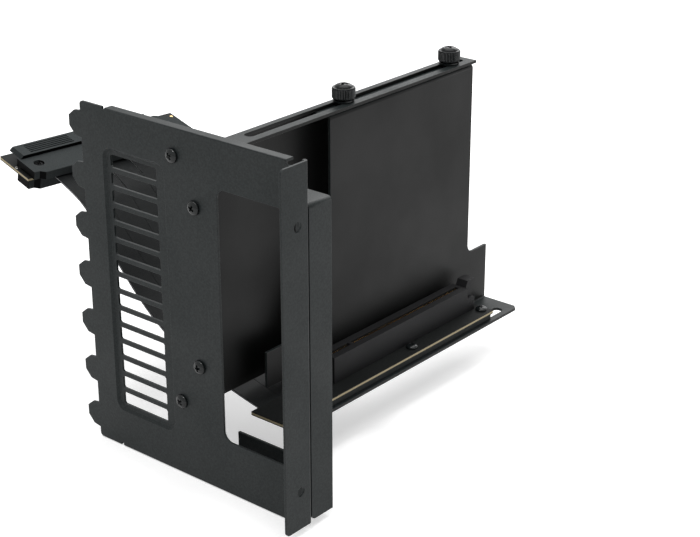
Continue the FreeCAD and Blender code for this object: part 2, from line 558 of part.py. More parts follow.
def riser_socket():
    """Edge socket with its latch, on a board and an insulating base."""
    mid, half, low = socket_mid, S["socket_width"] / 2, board_top
    near, far = S["socket_near"], S["socket_near"] + S["socket_length"]
    block = new_body("socket_body")
    section = rectangle(mid - half, low, mid + half, low + S["socket_height"])
    pad(block, outline(block, "XZ_Plane", section, -near), S["socket_length"], reverse=True)
    ear_low, ear_high = low, low + S["latch_pin_rise"] + 2.2
    ear_far = far + S["latch_length"] + S["latch_play"]
    ear = [(far - 1.0, ear_low), (ear_far, ear_low), (ear_far, ear_high), (far - 1.0, ear_high)]
    for left in (mid - half, mid + half - S["ear_wall"]):
        pad(block, outline(block, "YZ_Plane", ear, left), S["ear_wall"])
    slot_half, level = S["socket_slot"] / 2, low + S["socket_height"]
    first = near + S["socket_end_wall"]
    second = first + S["socket_short_slot"] + S["socket_key"]
    for start, end in ((first, first + S["socket_short_slot"]), (second, far - S["socket_end_wall"])):
        cut = rectangle(mid - slot_half, start, mid + slot_half, end)
        pocket(block, outline(block, "XY_Plane", cut, level), S["socket_slot_depth"])
    pin_y, pin_z = far + S["latch_play"] + S["latch_length"] / 2, low + S["latch_pin_rise"]
    bore = S["latch_pin"] + 2 * S["latch_pin_play"]
    pin_hole = circles(block, "YZ_Plane", [(pin_y, pin_z)], bore, mid + half + 1.0)
    pocket(block, pin_hole, S["socket_width"] + 2.0)

    latch = new_body("socket_latch")
    latch_near, latch_far = far + S["latch_play"], far + S["latch_play"] + S["latch_length"]
    foot, crown = pin_z - S["latch_foot"], low + S["latch_height"]
    cut, side = S["latch_foot_cut"], pin_z - S["latch_foot_side"]
    lever = [(latch_near, side), (latch_near + cut, foot), (latch_far - cut, foot), (latch_far, side),
             (latch_far, crown - 2.4), (latch_far + 2.2, crown),
             (latch_near + S["latch_hook"], crown), (latch_near, crown - 3.0)]
    thick = S["latch_width"]
    pad(latch, outline(latch, "YZ_Plane", lever, mid - thick / 2), thick)
    pin = S["socket_width"]
    pad(latch, circles(latch, "YZ_Plane", [(pin_y, pin_z)], S["latch_pin"], mid - pin / 2), pin)

    places = [(board_screw_x, S[f"board_screw_{name}"]) for name in ("one", "two", "three")]
    left, right = board_left, board_right
    hole = S["board_screw_shank"] + 0.2
    board = new_body("socket_board")
    plan = rectangle(left, S["board_near"], right, S["board_far"])
    pad(board, outline(board, "XY_Plane", plan, board_top - S["board_sheet"]), S["board_sheet"])
    pocket(board, circles(board, "XY_Plane", places, hole, board_top), 2 * S["board_sheet"])
    base = new_body("socket_base")
    inset = S["base_inset"]
    plan = rectangle(left + inset, S["carriage_near"] + inset, right - inset, S["board_far"] - inset)
    base_top = board_top - S["board_sheet"]
    pad(base, outline(base, "XY_Plane", plan, carriage_shelf), base_top - carriage_shelf)
    for x, y in places:
        square = rectangle(x - hole / 2, y - hole / 2, x + hole / 2, y + hole / 2)
        pocket(base, outline(base, "XY_Plane", square, base_top), 2 * (base_top - carriage_shelf))
    screws = []
    for number, (x, y) in enumerate(places, start=1):
        length = board_top - carriage_shelf + S["carriage_sheet"] + 1.0
        screw = pan_screw(f"board_screw_{number}", S["board_screw_head"], S["board_screw_rise"],
                          S["board_screw_shank"], length)
        screws.append(put(screw, x, y, board_top))
    return [*map(put, (block, latch, board, base)), group("board_screws", screws)]


def ribbon_route(middle):
    """Centre line of one strip in the X-Z plane, from the turned plug's mouth to the socket board."""
    entry = S["plug_board_width"] + S["ribbon_entry"]
    mouth = PLUG_TURN.multVec(FreeCAD.Vector(entry.value, 0, SIZES["plug_board_sheet"] / 2))
    along = PLUG_TURN.multVec(FreeCAD.Vector(0, 1, 0))
    shift = (middle - S["plug_y"] - mouth.y) * (along.x / along.y)
    start = (S["plug_x"] + mouth.x + shift, S["plug_z"] + mouth.z)
    end = (board_left - S["ribbon_gap"], board_top - S["board_sheet"] / 2)
    return [start, *RIBBON_BENDS, end]


def ribbon_outline(route):
    """Both long sides of a strip: its route set off by half the thickness each way, bends rounded."""
    points = [FreeCAD.Vector(number_of(x), number_of(z), 0) for x, z in route]
    half = S["ribbon_sheet"] / 2
    sides, radii = {1: [], -1: []}, []
    last = len(points) - 1
    for i, point in enumerate(points):
        back = (point - points[i - 1]).normalize() if i else (points[1] - point).normalize()
        ahead = (points[i + 1] - point).normalize() if i < last else back
        normal = FreeCAD.Vector(-(back + ahead).y, (back + ahead).x, 0).normalize()
        mitre = normal / math.sqrt((1 + back.dot(ahead)) / 2)
        turn = math.copysign(1, back.cross(ahead).z)
        if 0 < i < last:
            run = RUN_SHARE * min((point - points[i - 1]).Length, (points[i + 1] - point).Length)
            radii.append(run / math.tan(back.getAngle(ahead) / 2))
        for side in sides:
            corner = [route[i][0] + side * mitre.x * half, route[i][1] + side * mitre.y * half]
            if 0 < i < last:
                corner.append(Size(radii[-1]) - side * turn * half)
            sides[side].append(tuple(corner))
    print("ribbon bends, mm:", [round(radius, 1) for radius in radii])
    return sides[-1] + sides[1][::-1]


def ribbons():
    strips = []
    for number in range(STRIPS):
        strip = new_body(f"ribbon_{number + 1}")
        start = S["ribbon_near"] + number * S["ribbon_pitch"]
        route = ribbon_route(start + S["ribbon_strip"] / 2)
        sketch = outline(strip, "XZ_Plane", ribbon_outline(route), -start)
        pad(strip, sketch, S["ribbon_strip"], reverse=True)
        strips.append(put(strip))
    return strips


def riser_plug():
    """Edge plug: board between two shell halves, with a ribbed grip. Drawn flat, then turned into place."""
    long, wide, board_t = S["plug_length"], S["plug_board_width"], S["plug_board_sheet"]
    near, far, corner, bay = S["shell_near"], S["shell_far"], S["shell_corner"], S["shell_bay"]
    step, screw_u = S["shell_step"], S["plug_screw_u"]
    places = [(screw_u, near + S["plug_screw_inset"]), (screw_u, far - S["plug_screw_inset"])]
    shank = S["screw_shank"] + 0.2

    board = new_body("plug_board")
    key, key_end = S["finger_key_place"], S["finger_key_place"] + S["finger_key"]
    depth = S["finger_depth"] - 1.0
    plan = [(0, 0), (wide, 0), (wide, long), (0, long), (0, key_end), (depth, key_end), (depth, key),
            (0, key)]
    pad(board, outline(board, "XY_Plane", plan), board_t)
    pocket(board, circles(board, "XY_Plane", places, shank, board_t), 2 * board_t)

    shells = []
    under_left = S["shell_under_left"]
    for name, base, height, left, ledge, right in (
            ("plug_shell_top", board_t, S["shell_top"] - board_t, S["shell_left"], S["shell_ledge"],
             S["shell_right"]),
            ("plug_shell_bottom", -S["shell_bottom"], S["shell_bottom"], under_left, under_left,
             S["shell_under_right"])):
        shell = new_body(name)
        step_near = S["shell_step_near"]
        plan = [(left + corner, near), (right - step, near), (right - step, step_near),
                (right, step_near + step), (right, far - corner), (right - corner, far),
                (left + corner, far), (left, far - corner), (ledge, far - bay), (ledge, near + bay),
                (left, near + corner)]
        pad(shell, outline(shell, "XY_Plane", plan, base), height)
        shells.append(shell)
    pocket(shells[0], circles(shells[0], "XY_Plane", places, shank, S["shell_top"]), 2 * S["shell_top"])
    seat = S["shell_top"] - S["plug_screw_recess"]
    pocket(shells[0], circles(shells[0], "XY_Plane", places, S["plug_screw_head"] + 2 * S["plug_screw_fit"],
                              S["shell_top"]), S["plug_screw_recess"])

    grip = new_body("plug_grip")
    low, high, slope = S["shell_top"], S["grip_top"], S["grip_slope"]
    side = [(S["grip_near"], low), (S["grip_far"], low), (S["grip_far"] - slope, high),
            (S["grip_near"] + slope, high)]
    grip_width = S["grip_right"] - S["grip_left"]
    pad(grip, outline(grip, "YZ_Plane", side, S["grip_left"]), grip_width)
    groove, pitch, inset = S["grip_groove"], S["grip_groove_pitch"], S["grip_groove_inset"]
    start = S["grip_left"] + grip_width / 2 - (GRIP_GROOVES - 1) / 2 * pitch - groove / 2
    for rib_near in (S["grip_near"] + inset, S["grip_far"] - inset - S["grip_groove_length"]):
        rib = rectangle(start, rib_near, start + groove, rib_near + S["grip_groove_length"])
        cut = pocket(grip, outline(grip, "XY_Plane", rib, high), groove)
        pattern = repeat(grip, cut, "X_Axis", (GRIP_GROOVES - 1) * pitch, GRIP_GROOVES)
        pattern.Reversed = False
        doc.recompute()

    screws = []
    for number, (u, v) in enumerate(places, start=1):
        screw = pan_screw(f"plug_screw_{number}", S["plug_screw_head"], S["plug_screw_recess"] * 0.9,
                          S["screw_shank"], seat - S["plug_screw_fit"])
        at = PLUG_TURN.multVec(FreeCAD.Vector(u.value, v.value, seat.value))
        put(screw, S["plug_x"] + at.x, S["plug_y"] + at.y, S["plug_z"] + at.z, PLUG_TURN)
        screws.append(screw)
    for piece in (board, *shells, grip):
        put(piece, S["plug_x"], S["plug_y"], S["plug_z"], PLUG_TURN)
    return [board, *shells, grip, group("plug_screws", screws)]


NODES += [rear_plate(), arm_frame(), card_cage(), face_screws(), carriage()]
NODES += thumb_parts("near") + thumb_parts("far")
NODES += riser_socket() + ribbons() + riser_plug()
doc.recompute()

broken = [item.Label for item in doc.Objects if {"Invalid", "Error"} & set(item.State)]
if broken:
    raise RuntimeError(f"features in error: {broken}")
os.makedirs("parts", exist_ok=True)
for node in NODES:
    shape = node.Shape
    if shape.isNull() or not shape.isValid():
        raise RuntimeError(f"{node.Label}: the shape is not valid")
    box = shape.BoundBox
    print(f"{node.Label}: {len(shape.Solids)} solids, {shape.Volume:.0f} mm3, "
          f"X {box.XMin:.1f} {box.XMax:.1f} Y {box.YMin:.1f} {box.YMax:.1f} Z {box.ZMin:.1f} {box.ZMax:.1f}")
    shape.exportStep(f"parts/{node.Label}.step")
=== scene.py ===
# %% [markdown]
# # Dressing a vertical slot bracket
# The bracket is a folded steel plate that screws into the slots of a computer case, an arm with a
# slotted rail, a sliding carriage with an edge socket, and a ribbon cable that ends in a plug. The
# solids arrive finished and in place, so this lesson is about what solids don't have: finishes,
# knurling, threads, contacts and light. Everything is in metres, in the frame of the solids, so nothing
# is ever moved to fit.

# %% Load the solids
import math
import bmesh
import bpy
from mathutils import Matrix, Vector


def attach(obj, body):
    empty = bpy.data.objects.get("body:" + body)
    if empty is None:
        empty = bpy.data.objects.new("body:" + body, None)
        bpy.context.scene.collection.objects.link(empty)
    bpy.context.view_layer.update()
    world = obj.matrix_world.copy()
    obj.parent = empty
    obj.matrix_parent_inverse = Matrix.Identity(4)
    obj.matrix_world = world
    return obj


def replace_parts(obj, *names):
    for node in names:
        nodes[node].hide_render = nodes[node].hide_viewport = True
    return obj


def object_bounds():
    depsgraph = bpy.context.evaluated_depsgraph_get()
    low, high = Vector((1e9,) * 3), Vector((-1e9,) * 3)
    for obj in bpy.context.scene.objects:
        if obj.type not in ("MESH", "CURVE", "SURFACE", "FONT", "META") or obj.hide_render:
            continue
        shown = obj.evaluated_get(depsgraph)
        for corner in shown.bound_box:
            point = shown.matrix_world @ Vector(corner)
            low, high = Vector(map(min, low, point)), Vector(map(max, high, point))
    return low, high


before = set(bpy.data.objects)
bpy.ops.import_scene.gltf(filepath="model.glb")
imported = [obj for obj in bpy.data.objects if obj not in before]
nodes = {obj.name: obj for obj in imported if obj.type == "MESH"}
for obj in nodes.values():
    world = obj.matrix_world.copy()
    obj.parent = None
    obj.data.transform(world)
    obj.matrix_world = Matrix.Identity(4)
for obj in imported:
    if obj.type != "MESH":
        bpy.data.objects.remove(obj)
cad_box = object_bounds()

scene = bpy.context.scene
print(f"{len(nodes)} solids, {[round((b - a) * 1000, 1) for a, b in zip(*cad_box)]} mm")

# %% [markdown]
# Drawings of a bracket are dimensioned from a feature of the sheet, not from the frame's origin. Here
# that feature is the root of the middle slot tab on the plate's outer face. One small function turns
# such a dimension, in millimetres, into a point of the scene, so every number below can be read off the
# part like a drawing's.

# %% Points from drawing dimensions
MM = 0.001
FRAME_START = Vector((111.0, -5.0, -1.35))


def at(x, y, z):
    return (Vector((x, y, z)) - FRAME_START) * MM


print("middle tab root is at", tuple(round(c, 4) for c in at(0, 0, 0)))

# %% [markdown]
# The plug's own axes are turned out of the frame: it lies as the ribbon lets it lie. A rotation about
# the upright and a tilt about its long side give the three directions u (across), v (along) and w (up)
# that its details are set by.

# %% The plug's own axes
PLUG_ROOT, PLUG_YAW, PLUG_TILT = Vector((-71.5, 17.0, 26.4)), -7.8, 11.8
PLUG_TURN = (Matrix.Rotation(math.radians(PLUG_YAW), 3, "Z")
             @ Matrix.Rotation(math.radians(PLUG_TILT), 3, "Y"))


def in_plug(u, v, w):
    return at(*(PLUG_ROOT + PLUG_TURN @ Vector((u, v, w))))


PLUG_ACROSS, PLUG_ALONG, PLUG_UP = PLUG_TURN.col
print("the plug's upper side faces", tuple(round(c, 3) for c in PLUG_UP))

# %% [markdown]
# A product camera stands a little to the right of the plate and above it. The lens is fairly long, so
# the upright edges stay almost parallel. The slot tabs stand 20.32 mm apart on every case, which gave
# the distance.

# %% Camera
SENSOR, FOCAL_PIXELS, PICTURE_PIXELS = 36.0, 1668.0, 700
LOOK_DOWN, LOOK_LEFT = 23.017, 39.778
camera_data = bpy.data.cameras.new("product_camera")
camera = bpy.data.objects.new("product_camera", camera_data)
scene.collection.objects.link(camera)
camera_data.sensor_fit, camera_data.sensor_width = "HORIZONTAL", SENSOR
camera_data.lens = FOCAL_PIXELS * SENSOR / PICTURE_PIXELS
camera_data.clip_start = 0.01
camera.location = at(456.207, -391.202, 254.255)
camera.rotation_euler = (math.radians(90 - LOOK_DOWN), 0, math.radians(LOOK_LEFT))
scene.camera = camera
print("camera at", tuple(round(c, 3) for c in camera.location), "lens", round(camera_data.lens, 1), "mm")

# %% [markdown]
# A mesh piece needs the same few steps each time: make the object, smooth it except at its sharp edges,
# let it ride on the solid's body, and give it its materials. A helper keeps the later cells
# about shape only.

# %% A helper that makes a piece
def add_piece(name, mesh, body, slot, *materials, sharp=35):
    piece = bpy.data.objects.new(name, mesh)
    scene.collection.objects.link(piece)
    mesh.name = name
    mesh.shade_smooth()
    mesh.set_sharp_from_angle(angle=math.radians(sharp))
    for material in materials:
        mesh.materials.append(material)
    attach(piece, body)
    print(f"{name}: {len(mesh.polygons)} faces")
    return piece


def mesh_from(build):
    """A mesh from a function that fills an empty bmesh."""
    shape = bmesh.new()
    build(shape)
    bmesh.ops.recalc_face_normals(shape, faces=shape.faces)
    mesh = bpy.data.meshes.new("shape")
    shape.to_mesh(mesh)
    shape.free()
    return mesh


def gathered(parts):
    """One mesh from several (mesh, matrix) pairs."""
    whole = bmesh.new()
    for mesh, matrix in parts:
        start = len(whole.verts)
        whole.from_mesh(mesh)
        whole.verts.ensure_lookup_table()
        bmesh.ops.transform(whole, matrix=matrix, verts=whole.verts[start:])
    mesh = bpy.data.meshes.new("gathered")
    whole.to_mesh(mesh)
    whole.free()
    return mesh


# %% [markdown]
# ## Light
# The bracket is photographed on white, as products are. The floor is a plain pale sheet that takes the
# shadow, and the world is white where the camera or a reflection looks at it. The lamps stay at a plain
# level: a black coat shows its form by what it mirrors, so wide soft lamps matter more than strong
# ones.

# %% Floor
def node_material(name):
    material = bpy.data.materials.new(name)
    material.use_nodes = True
    tree = material.node_tree
    return material, tree, tree.nodes["Principled BSDF"]


def joined(tree, operation, first, second):
    """A math node of two values: MULTIPLY keeps where both masks are on, MAXIMUM where either is."""
    step = tree.nodes.new("ShaderNodeMath")
    step.operation = operation
    tree.links.new(first, step.inputs[0])
    tree.links.new(second, step.inputs[1])
    return step.outputs[0]


def seen_rays(tree):
    """1 for a ray that a viewer follows: straight from the camera, mirrored, or through glass."""
    ray = tree.nodes.new("ShaderNodeLightPath").outputs
    either = joined(tree, "MAXIMUM", ray["Is Camera Ray"], ray["Is Glossy Ray"])
    return joined(tree, "MAXIMUM", either, ray["Is Transmission Ray"])


def scaled(tree, value, factor, added=0.0):
    step = tree.nodes.new("ShaderNodeMath")
    step.operation = "MULTIPLY_ADD"
    tree.links.new(value, step.inputs[0])
    step.inputs[1].default_value, step.inputs[2].default_value = factor, added
    return step.outputs[0]


FLOOR_GLOW, FLOOR_GAP = 0.42, 0.2
floor_paper, tree, shader = node_material("floor_paper")
shader.inputs["Base Color"].default_value = (0.84, 0.84, 0.84, 1)
shader.inputs["Roughness"].default_value = 0.9
shader.inputs["Specular IOR Level"].default_value = 0.1
shader.inputs["Emission Color"].default_value = (1, 1, 1, 1)
tree.links.new(scaled(tree, seen_rays(tree), FLOOR_GLOW), shader.inputs["Emission Strength"])

floor_mesh = mesh_from(lambda shape: bmesh.ops.create_grid(shape, x_segments=4, y_segments=4, size=4.0))
floor = bpy.data.objects.new("floor", floor_mesh)
floor.location = (0, 0, cad_box[0].z - FLOOR_GAP * MM)
floor_mesh.materials.append(floor_paper)
scene.collection.objects.link(floor)
print("floor at", round(floor.location.z * 1000, 1), "mm")

# %% World and lamps
SKY_SEEN, SKY_LIGHT = 1.0, 0.42
world = bpy.data.worlds.new("white_studio")
world.use_nodes = True
scene.world = world
tree = world.node_tree
background = tree.nodes["Background"]
background.inputs["Color"].default_value = (1, 1, 1, 1)
sky = scaled(tree, seen_rays(tree), SKY_SEEN - SKY_LIGHT, SKY_LIGHT)
tree.links.new(sky, background.inputs["Strength"])


def soft_lamp(name, place, aim, size, power):
    data = bpy.data.lights.new(name, "AREA")
    data.shape, data.size, data.size_y, data.energy = "RECTANGLE", size[0], size[1], power
    lamp = bpy.data.objects.new(name, data)
    lamp.location = Vector(place)
    lamp.rotation_euler = (Vector(aim) - Vector(place)).to_track_quat("-Z", "Y").to_euler()
    scene.collection.objects.link(lamp)
    print(f"{name}: {power} W over {size[0]} x {size[1]} m")


soft_lamp("overhead", (-0.05, 0.15, 1.2), (-0.05, 0.05, 0), (1.4, 1.4), 14.0)
soft_lamp("window_side", (1.1, -0.2, 0.55), (0, 0.02, 0), (0.9, 0.9), 0.3)
soft_lamp("back_edge", (-0.4, 1.1, 0.7), (-0.05, 0.1, 0), (1.2, 0.6), 6.0)
soft_lamp("spark", (0.15, -0.5, 0.95), (-0.05, 0.02, 0), (0.1, 0.1), 2.0)
scene.view_settings.view_transform = "Standard"

# %% [markdown]
# ## Shared effects
# Powder coat is dry paint melted onto the steel: it levels into a very fine orange peel. Moulded
# plastic has a spark grain, and screws a zinc layer, but all three are the same thing at different
# sizes: a fine mottling of colour and gloss with a matching height. So it is one group of nodes, placed
# in each material with its own values.

# %% The grain group
def new_group(name, inputs, outputs):
    group = bpy.data.node_groups.new(name, "ShaderNodeTree")
    for direction, sockets in (("INPUT", inputs), ("OUTPUT", outputs)):
        for label, kind in sockets:
            group.interface.new_socket(label, in_out=direction, socket_type=f"NodeSocket{kind}")
    return group, group.nodes.new("NodeGroupInput"), group.nodes.new("NodeGroupOutput")


def noise(tree, place, scale, detail):
    cloud = tree.nodes.new("ShaderNodeTexNoise")
    cloud.inputs["Detail"].default_value = detail
    tree.links.new(place, cloud.inputs["Vector"])
    if isinstance(scale, float):
        cloud.inputs["Scale"].default_value = scale
    else:
        tree.links.new(scale, cloud.inputs["Scale"])
    return cloud.outputs["Fac"]


def spread(tree, value, low, high, to_low=0.0, to_high=1.0):
    step = tree.nodes.new("ShaderNodeMapRange")
    tree.links.new(value, step.inputs["Value"])
    for label, end in (("From Min", low), ("From Max", high), ("To Min", to_low), ("To Max", to_high)):
        if isinstance(end, float):
            step.inputs[label].default_value = end
        else:
            tree.links.new(end, step.inputs[label])
    return step.outputs["Result"]


def blended(tree, share, first, second):
    mix = tree.nodes.new("ShaderNodeMix")
    mix.data_type = "RGBA"
    tree.links.new(share, mix.inputs["Factor"])
    for end, socket in ((first, mix.inputs["A"]), (second, mix.inputs["B"])):
        colour_socket = next(s for s in mix.inputs if s.name == socket.name and s.type == "RGBA")
        if isinstance(end, tuple):
            colour_socket.default_value = (*end, 1)
        else:
            tree.links.new(end, colour_socket)
    return next(s for s in mix.outputs if s.type == "RGBA")


grain_group, given, made = new_group(
    "fine_grain",
    [("Dark", "Color"), ("Light", "Color"), ("Scale", "Float"), ("Smooth", "Float"), ("Rough", "Float")],
    [("Color", "Color"), ("Roughness", "Float"), ("Height", "Float")])
place = grain_group.nodes.new("ShaderNodeTexCoord").outputs["Object"]
speck = noise(grain_group, place, given.outputs["Scale"], 2.0)
smudge = noise(grain_group, place, 38.0, 3.0)
light_specks = spread(grain_group, speck, 0.35, 0.7)
mottled = blended(grain_group, light_specks, given.outputs["Dark"], given.outputs["Light"])
dulled = spread(grain_group, smudge, 0.3, 0.7, given.outputs["Smooth"], given.outputs["Rough"])
grain_group.links.new(mottled, made.inputs["Color"])
grain_group.links.new(dulled, made.inputs["Roughness"])
grain_group.links.new(speck, made.inputs["Height"])
print("fine_grain:", [s.name for s in grain_group.interface.items_tree])

# %% [markdown]
# No edge of a real sheet is perfectly sharp: the coat draws back from it, so it is a little lighter. The
# lighter edge colour is also a painted highlight, a line where an edge would catch the light. A bevelled
# normal shows where an edge is, because there it differs from the face's own normal. The group gives that
# difference as a mask, and the bevelled normal itself.

# %% The edge group
edge_group, given, made = new_group(
    "soft_edge", [("Radius", "Float")], [("Edge", "Float"), ("Normal", "Vector")])
bevel = edge_group.nodes.new("ShaderNodeBevel")
bevel.samples = 6
edge_group.links.new(given.outputs["Radius"], bevel.inputs["Radius"])
own = edge_group.nodes.new("ShaderNodeNewGeometry")
agree = edge_group.nodes.new("ShaderNodeVectorMath")
agree.operation = "DOT_PRODUCT"
edge_group.links.new(bevel.outputs["Normal"], agree.inputs[0])
edge_group.links.new(own.outputs["Normal"], agree.inputs[1])
edge_group.links.new(spread(edge_group, agree.outputs["Value"], 0.997, 0.88), made.inputs["Edge"])
edge_group.links.new(bevel.outputs["Normal"], made.inputs["Normal"])
print("soft_edge:", [s.name for s in edge_group.interface.items_tree])

# %% [markdown]
# ## Finishes
# Each finish is a Principled shader with the two groups before it. Numbers that are the same all over,
# such as the metal share or the bump's strength, are typed into the shader's own sockets. What changes
# over the surface comes from the groups. A finish may also be given a mask of painted shade, where its
# colour goes to near black: the plug's end faces, the outer side of its grip, and the webs of the arm
# and the carriage are painted darker as if they stood in shade.

# %% A finish from the two groups
# The first colour is near black for painted shade; GRIP_SIDE is where the grip's outer side lies across the
# plug.
SHADE_BLACK, GRIP_SIDE = (0.0015, 0.0016, 0.0016), 11.6


def toward(tree, direction):
    """How far the face looks along a direction: 1 along it, 0 across it, -1 against it."""
    own = tree.nodes.new("ShaderNodeNewGeometry")
    facing = tree.nodes.new("ShaderNodeVectorMath")
    facing.operation = "DOT_PRODUCT"
    tree.links.new(own.outputs["True Normal"], facing.inputs[0])
    facing.inputs[1].default_value = direction
    return facing.outputs["Value"]


def square_to(tree, direction):
    """1 for a face that looks along a direction or against it, 0 for one that runs along it."""
    either_way = tree.nodes.new("ShaderNodeMath")
    either_way.operation = "ABSOLUTE"
    tree.links.new(toward(tree, direction), either_way.inputs[0])
    return either_way.outputs[0]


def beside(tree, direction):
    """How far the point lies along a direction from the frame's origin, in metres."""
    reach = tree.nodes.new("ShaderNodeVectorMath")
    reach.operation = "DOT_PRODUCT"
    tree.links.new(tree.nodes.new("ShaderNodeTexCoord").outputs["Object"], reach.inputs[0])
    reach.inputs[1].default_value = direction
    return reach.outputs["Value"]


def grained_finish(name, dark, light, edge_coat_and_highlight, grain, smooth, rough, bump, edge_radius, metal=0.0, mirror=0.35,
                   shade_mask=None):
    material, tree, shader = node_material(name)
    texture = tree.nodes.new("ShaderNodeGroup")
    texture.node_tree = grain_group
    texture.inputs["Dark"].default_value, texture.inputs["Light"].default_value = (*dark, 1), (*light, 1)
    texture.inputs["Scale"].default_value = grain
    texture.inputs["Smooth"].default_value, texture.inputs["Rough"].default_value = smooth, rough
    corner = tree.nodes.new("ShaderNodeGroup")
    corner.node_tree = edge_group
    corner.inputs["Radius"].default_value = edge_radius * MM
    bump_node = tree.nodes.new("ShaderNodeBump")
    bump_node.inputs["Strength"].default_value = bump
    bump_node.inputs["Distance"].default_value = 0.05 * MM
    tree.links.new(texture.outputs["Height"], bump_node.inputs["Height"])
    tree.links.new(corner.outputs["Normal"], bump_node.inputs["Normal"])
    tree.links.new(bump_node.outputs["Normal"], shader.inputs["Normal"])
    colour = texture.outputs["Color"]
    # Painted shade: where the mask is on, the colour goes to near black.
    if shade_mask:
        colour = blended(tree, shade_mask(tree), colour, SHADE_BLACK)
    # The edge colour is partly a thinner coat and partly a painted highlight along the edges.
    tree.links.new(blended(tree, corner.outputs["Edge"], colour, edge_coat_and_highlight), shader.inputs["Base Color"])
    tree.links.new(texture.outputs["Roughness"], shader.inputs["Roughness"])
    shader.inputs["Metallic"].default_value = metal
    shader.inputs["Specular IOR Level"].default_value = mirror
    print(f"{name}: grain {1000 / grain:.2f} mm, roughness {smooth} to {rough}")
    return material


def plug_end_shade(tree):
    """The end faces of the plug's shells, which get painted shade."""
    return spread(tree, toward(tree, PLUG_ALONG), -0.3, -0.55)


def grip_flank_shade(tree):
    """Painted shade on the outer side of the grip, but not the walls of its grooves, and partly its sloped
    end.
    """
    flank = in_plug(GRIP_SIDE, 0, 0).dot(PLUG_ACROSS)
    outermost = spread(tree, beside(tree, PLUG_ACROSS), flank - 0.3 * MM, flank - 0.2 * MM)
    upright = spread(tree, toward(tree, PLUG_UP), 0.85, 0.5)
    sloped_end = spread(tree, toward(tree, PLUG_ALONG), -0.5, -1.1)
    return joined(tree, "MAXIMUM", joined(tree, "MULTIPLY", upright, outermost), sloped_end)


def web_shade(tree):
    """Painted shade on the webs of the arm and the carriage, which stand across x."""
    return spread(tree, square_to(tree, (1, 0, 0)), 0.6, 0.9)


# The third colour is the lighter edge colour: a thinner coat and a painted highlight.
SHEET_COAT = ((0.008, 0.0106, 0.0108), (0.0172, 0.021, 0.0214), (0.06, 0.064, 0.065),
              1500.0, 0.42, 0.54, 0.5, 0.2)
powder_coat = grained_finish("powder_coat", *SHEET_COAT, mirror=0.19)
# The same coat with painted shade on the webs of the arm and the carriage.
coat_with_web_shade = grained_finish("coat_with_web_shade", *SHEET_COAT, mirror=0.19, shade_mask=web_shade)
black_zinc = grained_finish("black_zinc", (0.0035, 0.0046, 0.0048), (0.0085, 0.0106, 0.011),
                            (0.022, 0.0245, 0.025), 5000.0, 0.1, 0.17, 0.1, 0.04, mirror=0.3)
knurl_black = grained_finish("knurl_black", (0.003, 0.0039, 0.0041), (0.007, 0.0088, 0.0091),
                             (0.06, 0.064, 0.066), 5000.0, 0.08, 0.13, 0.1, 0.05, mirror=0.18)
# Painted highlight: a much lighter finish for the knurl's crests.
ridge_highlight = grained_finish("ridge_highlight", (0.075, 0.08, 0.081), (0.11, 0.116, 0.118),
                            (0.12, 0.126, 0.128), 5000.0, 0.2, 0.28, 0.1, 0.02, mirror=0.5)
# Near black and nearly matt: the plug screws' finish, and painted shade in the knurl's valleys.
dull_black = grained_finish("dull_black", (0.0012, 0.0012, 0.0013), (0.003, 0.003, 0.0032),
                            (0.006, 0.006, 0.006), 5000.0, 0.4, 0.5, 0.1, 0.03, mirror=0.04)
shell_plastic = grained_finish("shell_plastic", (0.009, 0.0106, 0.0108), (0.017, 0.0194, 0.0198),
                               (0.03, 0.032, 0.033), 3400.0, 0.55, 0.68, 0.5, 0.12, mirror=0.12)
# Painted shade on the plug's end faces.
plug_plastic = grained_finish("plug_plastic", (0.0275, 0.0312, 0.0317), (0.0445, 0.0495, 0.0503),
                              (0.062, 0.066, 0.067), 3400.0, 0.55, 0.68, 0.5, 0.12, mirror=0.03,
                              shade_mask=plug_end_shade)
# Painted shade on the grip's outer side and its sloped end.
grip_rubber = grained_finish("grip_rubber", (0.0286, 0.0326, 0.0332), (0.046, 0.0517, 0.0525),
                             (0.062, 0.066, 0.067), 3400.0, 0.55, 0.68, 0.5, 0.1, mirror=0.03,
                             shade_mask=grip_flank_shade)
socket_plastic = grained_finish("socket_plastic", (0.005, 0.005, 0.0055), (0.009, 0.009, 0.01),
                                (0.022, 0.022, 0.024), 4200.0, 0.5, 0.62, 0.4, 0.1, mirror=0.2)
ribbon_jacket = grained_finish("ribbon_jacket", (0.006, 0.0068, 0.007), (0.012, 0.0132, 0.0136),
                               (0.02, 0.021, 0.0215), 3000.0, 0.5, 0.62, 0.2, 0.05, mirror=0.1)
ribbon_foil = grained_finish("ribbon_foil", (0.3, 0.304, 0.31), (0.44, 0.445, 0.45), (0.44, 0.44, 0.45),
                             3000.0, 0.4, 0.5, 0.2, 0.03, mirror=0.3)

# %% [markdown]
# A circuit board is a pale glass cloth with a dark matt lacquer on both sides. The lacquer ends at the
# cut edge, so the edge shows a cream line. Two things pick that line out: the face turns away from the
# board's upright, and it lies near the middle of the board's thickness.

# %% Board and gold
CORE_HALF, GLASS_CLOTH = 0.42, (0.38, 0.32, 0.2)


